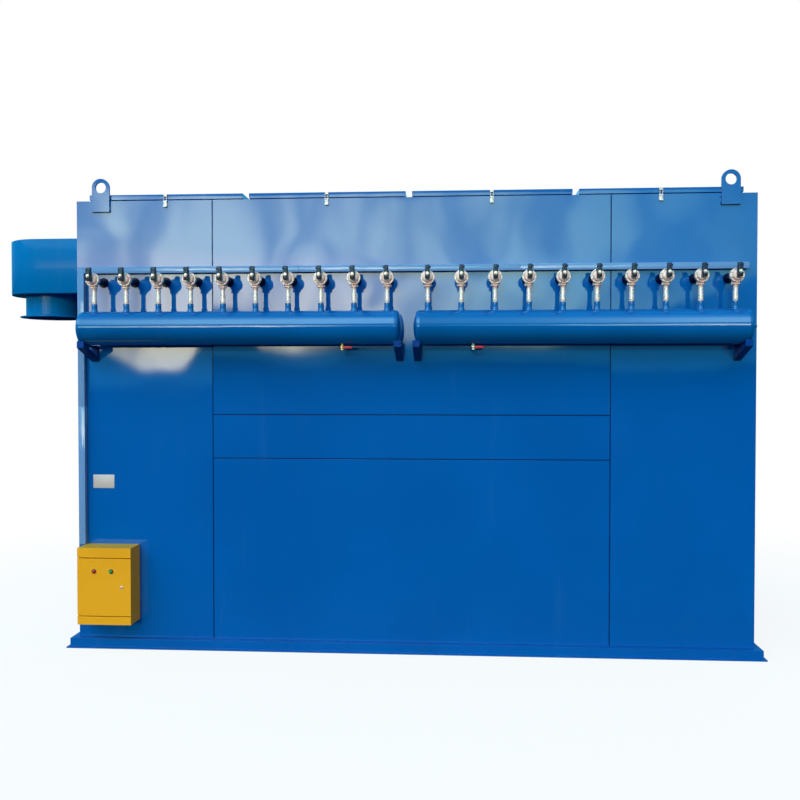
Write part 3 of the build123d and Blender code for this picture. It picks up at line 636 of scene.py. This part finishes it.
def blow_pipe_set(name, side):
    """Pipes back into the housing, each through a dark coupling on the wall."""
    one = Shape()
    start = (0, FRONT, VALVE_Z)
    reach = FRONT - TANK_Y - 0.027
    one.turned(start, -Y_AXIS, rod(reach, 0.017), sides=32)
    one.finish = 1
    coupling = [(0, 0), (0, 0.0305), (0.0006, 0.031), (0.0052, 0.031), (0.006, 0.030), (0.006, 0.026),
                (0.0145, 0.0255), (0.016, 0.024), (0.016, 0)]
    one.turned(start, -Y_AXIS, coupling, sides=36)
    row_of(one, side).piece(f"blow_pipe_set_{name}", "housing", "galvanised", [black_pipe, navy],
                            replaces=[f"blow_pipes_{name}"])


for name, side in SIDES.items():
    tank_vessel(name, side)
    riser_set(name, side)
    valve_set(name, side)
    coil_set(name, side)
    blow_pipe_set(name, side)


def trunks():
    """Sheet trunking in lengths, each with a lid that laps over it."""
    lip = 0.0012
    joint = 0.0006
    for node, lengthwise, lengths in (("side_trunk", 2, 2), ("top_trunk", 0, 3)):
        low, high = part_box(node)
        sideways = 2 - lengthwise
        step = (high[lengthwise] - low[lengthwise]) / lengths
        shape = Shape()
        for i in range(lengths):
            start, end = low.copy(), high.copy()
            start[lengthwise] = low[lengthwise] + i * step + (joint if i else 0)
            end[lengthwise] = low[lengthwise] + (i + 1) * step
            inner_low, inner_high = start.copy(), end.copy()
            inner_low.y += 0.004
            inner_low[sideways] += lip
            inner_high[sideways] -= lip
            shape.block(inner_low, inner_high, edge=0.0008)
            end.y = low.y + 0.013
            shape.block(start, end, edge=0.0012, segments=3)
        shape.piece(f"{node}_cover", "housing", "trunk_blue", [trunk_paint], replaces=[node])


trunks()


def turned_into(*angles):
    """Angles as turns from 0 to a full circle, rounded so that equal ones meet in a set."""
    return {round(angle % (2 * pi), 9) for angle in angles}


def ray_to_plan(angle, left, right, half):
    """How far a ray runs inside a rectangle, given how far this reaches left, right and up or down."""
    reaches = []
    if cos(angle) > 1e-9:
        reaches.append(right / cos(angle))
    if cos(angle) < -1e-9:
        reaches.append(-left / cos(angle))
    if abs(sin(angle)) > 1e-9:
        reaches.append(half / abs(sin(angle)))
    return min(reaches)


def lifting_eyes():
    """Round-topped plates with a bored hole, welded to the wall along their edges."""
    half = 0.113 / 2
    hole = 0.034
    thickness = 0.015
    chamfer = 0.001
    bead = 0.004
    lap = 0.001
    for node in ("lifting_eyes_front", "lifting_eyes_back"):
        low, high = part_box(node)
        ring_z = high.z - half
        foot = ring_z - low.z
        corner = atan2(-foot, half)
        angles = sorted(turned_into(*(2 * pi * i / 96 for i in range(96)), corner, pi - corner))
        outward = -Y_AXIS if low.y < 0 else Y_AXIS
        wall_y = high.y if low.y < 0 else low.y
        y0, y1 = sorted((wall_y, wall_y + outward.y * bead))
        shape = Shape()
        for x in (low.x + half, high.x - half):
            centre = Vector((x, wall_y, ring_z))
            for start, travel, inset in ((0.0, thickness, 0.0), (thickness, chamfer, chamfer)):
                outer, inner = [], []
                for angle in angles:
                    direction = Vector((cos(angle), 0, sin(angle)))
                    reach = ray_to_plan(angle, half, half, foot) if sin(angle) < 0 else half
                    outer.append(centre + direction * (reach - inset) + outward * start)
                    inner.append(centre + direction * (hole + inset) + outward * start)
                shape.pierced(outer, inner, outward * travel)
            for x0, z0, x1, z1 in (
                (x - half - bead, low.z, x - half + lap, WALL_TOP - bead),
                (x + half - lap, low.z, x + half + bead, WALL_TOP - bead),
                (x - half, low.z - bead, x + half, low.z + lap),
            ):
                shape.block((x0, y0, z0), (x1, y1, z1), edge=0.0015)
        shape.piece(node.replace("eyes", "lugs"), "housing", "housing_blue", [wall_paint], replaces=[node])


lifting_eyes()


def lid_catches():
    """Toggle catches with their plate, barrel, bent lever, wire link and keeper."""
    half = 0.012
    width = 2 * half
    plate_face = FRONT - 0.003
    lid_low, lid_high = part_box("lid_1")
    foot_z = WALL_TOP - 0.042
    barrel_y = FRONT - 0.006
    barrel_z = WALL_TOP - 0.010
    one = Shape()
    one.block((-half, plate_face, foot_z), (half, FRONT, WALL_TOP - 0.001), edge=0.0008)
    barrel = [(0, 0), (0, 0.0052), (0.0008, 0.006), (width - 0.0008, 0.006), (width, 0.0052), (width, 0)]
    one.turned((-half, barrel_y, barrel_z), X_AXIS, barrel, sides=24)
    lever = [
        (0, 0.0, 0.004), (0, -0.0055, 0.002), (0, -0.0035, -0.022), (0, -0.0085, -0.032),
        (0, -0.0070, -0.034), (0, -0.0015, -0.024),
    ]
    one.profile(lever, (-half + 0.001, barrel_y, barrel_z), X_AXIS * (width - 0.002), edge=0.0005)
    for x in (-0.0085, 0.0085):
        one.turned((x, barrel_y, barrel_z), Z_AXIS, rod(lid_high.z - barrel_z - 0.004, 0.0021), sides=12)
    one.block((-half, barrel_y - 0.0005, lid_high.z - 0.016), (half, lid_low.y + 0.001, lid_high.z - 0.001),
              edge=0.0018, segments=3)
    rivet = [(0, 0), (0, 0.0024), (0.0008, 0.002), (0.0012, 0)]
    for z in (foot_z + 0.007, WALL_TOP - 0.024):
        for x in (-0.0075, 0.0075):
            one.turned((x, plate_face, z), -Y_AXIS, rivet, sides=12)
    places = []
    for i in range(1, 5):
        low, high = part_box(f"lid_{i}")
        places.append(((low.x + high.x) / 2, 0, 0))
    whole = Shape()
    whole.repeat(one, places)
    rear = whole.mesh.copy()
    bmesh.ops.scale(rear, vec=(1, -1, 1), verts=rear.verts)
    bmesh.ops.reverse_faces(rear, faces=rear.faces)
    whole.take(rear)
    whole.piece("lid_catch_set", "housing", "bright_steel", [catch_steel], replaces=["lid_catches"])


lid_catches()


def inlet():
    """The hood's sheet shell, its round neck and the weld beads between them."""
    sheet = 0.005
    edge = 0.003
    neck_wall = 0.004
    cap = 0.1
    steps = 12
    radius = (HOOD_HIGH.y - HOOD_LOW.y) / 2
    centre_x = HOOD_LOW.x + radius
    reach = HOOD_HIGH.x - centre_x
    neck_radius = (NECK_HIGH.x - NECK_LOW.x) / 2
    inner = neck_radius - neck_wall
    corner = atan2(radius, reach)
    angles = turned_into(*(pi / 2 + pi * i / 64 for i in range(65)), corner, -corner, 0.0)
    for i in range(1, steps):
        share = corner * i / steps
        spare = (pi / 2 - corner) * i / steps
        angles |= turned_into(share, -share, corner + spare, -corner - spare)
    angles = sorted(angles)

    def plan(side, z):
        """The hood's outline: a half circle to the left and a rectangle to the right."""
        loop = []
        for angle in angles:
            far = side if cos(angle) < 1e-9 else ray_to_plan(angle, side, reach, side)
            loop.append(Vector((centre_x + far * cos(angle), far * sin(angle), z)))
        return loop

    def circle(size, z):
        """A circle round the neck's axis, with a point for each of the outline's."""
        return [Vector((centre_x + size * cos(a), size * sin(a), z)) for a in angles]

    part = bmesh.new()
    z0, z1 = HOOD_LOW.z, HOOD_HIGH.z
    loops = [
        circle(inner, z0), plan(radius - edge, z0), plan(radius - edge * 0.3, z0 + edge * 0.3),
        plan(radius, z0 + edge), plan(radius, z1 - edge), plan(radius - edge * 0.3, z1 - edge * 0.3),
        plan(radius - edge, z1), circle(cap, z1), circle(cap, z1 - sheet), plan(radius - sheet, z1 - sheet),
        plan(radius - sheet, z0 + sheet), circle(inner, z0 + sheet),
    ]
    rows = [[part.verts.new(p) for p in loop] for loop in loops]
    caps = rows[7:9]
    for first, second in zip(rows, rows[1:] + rows[:1]):
        if first is caps[0]:
            continue
        for i in range(len(angles)):
            j = (i + 1) % len(angles)
            part.faces.new((first[i], first[j], second[j], second[i]))
    for row in caps:
        part.faces.new(row)
    shape = Shape()
    shape.take(part)
    bead = [(0, neck_radius - 0.0005), (0.001, neck_radius + 0.005), (-0.002, neck_radius + 0.0045),
            (-0.006, neck_radius + 0.0012), (-0.007, neck_radius - 0.0005)]
    shape.turned((centre_x, 0, z0), Z_AXIS, bead, sides=96, ring=True)
    shape.piece("inlet_hood_shell", "housing", "housing_blue", [hood_paint], replaces=["inlet_hood"])

    foot = (centre_x, 0, NECK_LOW.z)
    height = NECK_HIGH.z - NECK_LOW.z
    tube = [(0, inner), (0, neck_radius), (height, neck_radius), (height, inner)]
    bead = [(0, neck_radius - 0.0005), (0, neck_radius + 0.006), (0.003, neck_radius + 0.0045),
            (0.007, neck_radius + 0.001), (0.008, neck_radius - 0.0005)]
    neck = Shape()
    neck.turned(foot, Z_AXIS, tube, sides=96, ring=True)
    neck.turned(foot, Z_AXIS, bead, sides=96, ring=True)
    neck.piece("inlet_neck_tube", "housing", "housing_blue", [hood_paint], replaces=["inlet_neck"])


inlet()


def ball_valve(name, metal):
    """A ball valve under a tank, its stem towards the front."""
    low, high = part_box(f"drain_valve_{name}")
    lever_low, lever_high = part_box(f"drain_lever_{name}")
    x = (low.x + high.x) / 2
    stem_z = (lever_low.z + lever_high.z) / 2
    shape = Shape()
    shape.turned((x, TANK_Y, high.z - 0.010), Z_AXIS, rod(0.0098, 0.0106), sides=28)
    for bottom in (high.z - 0.018, low.z):
        shape.hexagon((x, TANK_Y, bottom), Z_AXIS, 0.0165, 0.010, across=X_AXIS)
    ball = [(0, 0), (0, 0.0125), (0.002, 0.014), (0.005, 0.0158), (0.009, 0.016), (0.013, 0.0158),
            (0.016, 0.014), (0.018, 0.0125), (0.018, 0)]
    shape.turned((x, TANK_Y, low.z + 0.010), Z_AXIS, ball, sides=28)
    shape.turned((x, TANK_Y, low.z), Z_AXIS, rod(-0.0001, 0.0095, start=0.0001), sides=24)
    stem = [(0, 0), (0, 0.0085), (0.006, 0.0080), (0.0065, 0.004), (0.0235, 0.004), (0.024, 0.0035),
            (0.024, 0)]
    shape.turned((x, TANK_Y - 0.014, stem_z), -Y_AXIS, stem, sides=24)
    shape.hexagon((x, lever_low.y, stem_z), -Y_AXIS, 0.0065, 0.0042, across=Z_AXIS)
    shape.piece(f"ball_valve_{name}", "housing", "brass", [metal], replaces=[f"drain_valve_{name}"])


def valve_lever(name):
    """A flat lever with round ends, pierced for the stem, and its vinyl grip."""
    valve_low, valve_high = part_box(f"drain_valve_{name}")
    low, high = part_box(f"drain_lever_{name}")
    centre = Vector(((valve_low.x + valve_high.x) / 2, high.y, (low.z + high.z) / 2))
    tip = high.x if high.x - centre.x > centre.x - low.x else low.x
    way = 1 if tip > centre.x else -1
    half = 0.007
    span = abs(tip - centre.x) - half
    outer, inner = [], []
    for i in range(64):
        angle = 2 * pi * i / 64
        direction = Vector((cos(angle) * way, 0, sin(angle)))
        if abs(sin(angle)) * span > half * abs(cos(angle)) and cos(angle) > 0:
            reach = half / abs(sin(angle))
        elif cos(angle) > 0:
            across = span * sin(angle)
            reach = span * cos(angle) + max(half * half - across * across, 0.0) ** 0.5
        else:
            reach = half
        outer.append(centre + direction * reach)
        inner.append(centre + direction * 0.0042)
    lever = Shape()
    lever.pierced(outer, inner, -Y_AXIS * (high.y - low.y))
    grip_start = (centre.x + way * 0.024, low.y - 0.0012, centre.z - 0.0076)
    grip_end = (tip + way * 0.0002, high.y + 0.0012, centre.z + 0.0076)
    lever.block(Vector(map(min, grip_start, grip_end)), Vector(map(max, grip_start, grip_end)),
                edge=0.0028, segments=3)
    lever.piece(f"valve_lever_{name}", f"lever_{name}", "lever_red", [lever_vinyl],
                replaces=[f"drain_lever_{name}"])


for name, metal in (("left", brass), ("right", bolt_steel)):
    ball_valve(name, metal)
    valve_lever(name)


def back_centre(node):
    """The middle of a node's back face."""
    low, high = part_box(node)
    return Vector(((low.x + high.x) / 2, high.y, (low.z + high.z) / 2))


def control_details():
    """Lamps, lock and gasket of the control box's door."""
    dome = [(0.0035, 0), (0.0035, 0.0112), (0.0085, 0.0110), (0.0115, 0.0095), (0.0135, 0.006), (0.014, 0)]
    bezel = [(0, 0), (0, 0.0145), (0.0026, 0.0145), (0.0040, 0.0132), (0.0040, 0.0116), (0.0030, 0.0112),
             (0.0030, 0)]
    for colour, lens in (("red", red_lens), ("green", green_lens)):
        node = f"lamp_{colour}"
        lamp = Shape()
        lamp.turned(back_centre(node), -Y_AXIS, dome, sides=40)
        lamp.finish = 1
        lamp.turned(back_centre(node), -Y_AXIS, bezel, sides=40)
        lamp.piece(f"signal_lamp_{colour}", "door", f"lamp_{colour}", [lens, rubber], replaces=[node])

    collar = [(0, 0), (0, 0.010), (0.0035, 0.0096), (0.0042, 0.0082), (0.0042, 0)]
    plug = [(0.004, 0), (0.004, 0.0065), (0.0064, 0.0062), (0.007, 0.0055), (0.007, 0)]
    start = back_centre("door_lock")
    lock = Shape()
    lock.turned(start, -Y_AXIS, collar, sides=36)
    lock.turned(start, -Y_AXIS, plug, sides=32)
    lock.finish = 1
    lock.block(start + Vector((-0.0011, -0.0071, -0.0042)), start + Vector((0.0011, -0.0066, 0.0042)),
               edge=0.0002)
    lock.piece("lock_cylinder", "door", "bright_steel", [catch_steel, rubber], replaces=["door_lock"])

    bar = 0.008
    front, back = DOOR_HIGH.y - 0.0002, DOOR_HIGH.y + 0.0033
    x0, x1 = BOX_LOW.x + 0.004, BOX_HIGH.x - 0.004
    z0, z1 = DOOR_LOW.z + 0.006, DOOR_HIGH.z - 0.006
    gasket = Shape()
    for low_x, low_z, high_x, high_z in (
        (x0, z0, x0 + bar, z1), (x1 - bar, z0, x1, z1),
        (x0 + bar, z0, x1 - bar, z0 + bar), (x0 + bar, z1 - bar, x1 - bar, z1),
    ):
        gasket.block((low_x, front, low_z), (high_x, back, high_z), edge=0.001)
    gasket.piece("door_gasket", "door", "coil_black", [rubber])


control_details()


def wall_plate():
    """A bare metal plate on the left sheet with a rivet in each corner."""
    low_x, high_x = -2.018, -1.881
    low_z, high_z = 1.014, 1.100
    inset = 0.006
    plate = Shape()
    plate.block((low_x, FRONT - 0.0012, low_z), (high_x, FRONT + 0.0002, high_z), edge=0.0004)
    plate.finish = 1
    rivet = [(0, 0), (0, 0.0022), (0.0007, 0.0018), (0.0011, 0)]
    for x in (low_x + inset, high_x - inset):
        for z in (low_z + inset, high_z - inset):
            plate.turned((x, FRONT - 0.0011, z), -Y_AXIS, rivet, sides=14)
    plate.piece("wall_plate", "housing", "bright_steel", [plate_metal, bolt_steel])


wall_plate()


def stage_floor():
    """A pale floor that fades to white far from the object, and is dark in every mirror."""
    surface = Surface("studio_floor")
    surface.colour(surface.mix(surface.noise(0.7, detail=3.0), linear(244, 226, 212), linear(250, 232, 218)))
    surface.roughness(0.9)
    distance = surface.add("ShaderNodeVectorMath", surface.place)
    distance.operation = "LENGTH"
    far = surface.range(distance.outputs["Value"], 2.0, 6.0, 0.85, 1.0)
    white = surface.add("ShaderNodeEmission").outputs["Emission"]
    pale = surface.add("ShaderNodeMixShader", far, surface.shader.outputs["BSDF"], white).outputs["Shader"]
    dark = surface.add("ShaderNodeBsdfDiffuse", (0.02, 0.035, 0.05, 1)).outputs["BSDF"]
    surface.feed(surface.tree.nodes["Material Output"].inputs["Surface"], surface.camera_only(pale, dark))
    half = 60
    sheet = bmesh.new()
    corners = [(-half, -half, 0), (half, -half, 0), (half, half, 0), (-half, half, 0)]
    sheet.faces.new([sheet.verts.new(c) for c in corners])
    mesh = bpy.data.meshes.new("floor")
    sheet.to_mesh(mesh)
    sheet.free()
    mesh.materials.append(surface.material)
    floor = bpy.data.objects.new("floor", mesh)
    bpy.context.scene.collection.objects.link(floor)


stage_floor()


def studio_sky():
    """What gloss paint mirrors: a bright band low in front, brighter to the left, and a clear sky above.

    The camera itself sees plain white.
    """
    world = bpy.data.worlds.new("studio")
    bpy.context.scene.world = world
    world.use_nodes = True
    sky = Graph(world.node_tree, "Generated")
    split = sky.add("ShaderNodeSeparateXYZ", sky.place).outputs

    def ramp(axis, *ends):
        return sky.range(split[axis], *ends)

    # The band, with an uneven lower edge
    notch = sky.product(ramp("X", -0.300, -0.270, 0.0, 0.05), ramp("X", -0.250, -0.215, 1.0, 0.0))
    left_lift = sky.math("ADD", notch, ramp("X", -0.420, -0.330, 0.055, 0.0))
    right_lift = sky.math("ADD", ramp("X", -0.12, 0.0, 0.0, 0.006), ramp("X", 0.10, 0.32, 0.0, 0.07))
    above = sky.math("SUBTRACT", split["Z"], sky.math("ADD", left_lift, right_lift))
    horizon = sky.range(above, 0.024, 0.038, 0.0, 1.0)
    fall = sky.product(ramp("Z", 0.204, 0.214, 1.0, 0.06), ramp("Z", 0.16, 0.20, 1.0, 0.85))
    ahead = ramp("Y", -0.35, -0.80, 0.08, 1.0)
    leftward = ramp("X", 0.45, -0.20, 0.08, 1.0)
    far_left = ramp("X", -0.48, -0.37, 0.10, 1.0)
    clouds = sky.noise(8.0, detail=3.0, distortion=0.8, stretch=(1.7, 1, 0.8), turn=(0, radians(35), 0))
    veil = sky.range(clouds, 0.37, 0.64, 0.55, 1.30)
    band = sky.product(horizon, fall, ahead, leftward, far_left, veil, 4.2)
    high_sky = sky.mix(leftward, (0.40, 1.25, 0.80, 1), (1.06, 1.22, 0.84, 1))
    sunset = sky.product(ramp("Z", 0.15, 0.10, 0.0, 1.0), ramp("X", 0.04, -0.16, 0.0, 1.0))
    tint = sky.mix(sunset, high_sky, (1.6, 1.45, 0.98, 1))
    mirrored = sky.add("ShaderNodeBackground", tint, band)

    # The clear sky high up and the dim one all round
    upper = sky.product(ramp("Z", 0.355, 0.385, 0.0, 1.0), ramp("Z", 0.72, 0.93, 1.0, 0.2),
                        ramp("Y", -0.10, -0.40, 0.0, 1.0), ramp("X", 0.32, -0.20, 0.2, 1.0), 1.9)
    dome = sky.product(ramp("Z", 0.010, 0.022, 0.0, 1.0), ramp("X", 0.25, 0.75, 1.0, 0.35), 1.15)
    for colour, strength in (((0.9, 1.75, 2.0, 1), upper), ((0.06, 0.52, 0.92, 1), dome)):
        layer = sky.add("ShaderNodeBackground", colour, strength)
        mirrored = sky.add("ShaderNodeAddShader", mirrored.outputs[0], layer.outputs[0])
    white = sky.add("ShaderNodeBackground", (1, 1, 1, 1))
    sky.feed(sky.tree.nodes["World Output"].inputs["Surface"],
             sky.camera_only(white.outputs[0], mirrored.outputs[0]))


def sun_lamps():
    """A low sun from behind the camera and a weak warm fill from the right."""
    for name, energy, colour, spread, elevation, azimuth in (
        ("sun", 1.5, (1.0, 0.74, 0.44), 6, 12, 5),
        ("fill", 0.35, (1.0, 0.55, 0.35), 20, 15, -75),
    ):
        light = bpy.data.lights.new(name, "SUN")
        light.energy = energy
        light.color = colour
        light.angle = radians(spread)
        lamp = bpy.data.objects.new(name, light)
        height, turn = radians(elevation), radians(azimuth)
        travel = Vector((sin(turn) * cos(height), cos(turn) * cos(height), -sin(height)))
        lamp.rotation_euler = travel.to_track_quat("-Z", "Y").to_euler()
        lamp.visible_glossy = False
        bpy.context.scene.collection.objects.link(lamp)


studio_sky()
sun_lamps()


def photo_camera():
    """The camera of the photograph, fitted to the corners of the wall."""
    lens = bpy.data.cameras.new("camera")
    lens.sensor_width = 36
    lens.lens = 39.83
    camera = bpy.data.objects.new("camera", lens)
    camera.location = (0.3001, -6.5074, 1.6922)
    yaw, pitch = radians(3.688), radians(1.180)
    aim = Vector((-sin(yaw) * cos(pitch), cos(yaw) * cos(pitch), -sin(pitch)))
    camera.rotation_euler = aim.to_track_quat("-Z", "Y").to_euler()
    bpy.context.scene.collection.objects.link(camera)
    bpy.context.scene.camera = camera


photo_camera()
bpy.context.scene.view_settings.view_transform = "Standard"
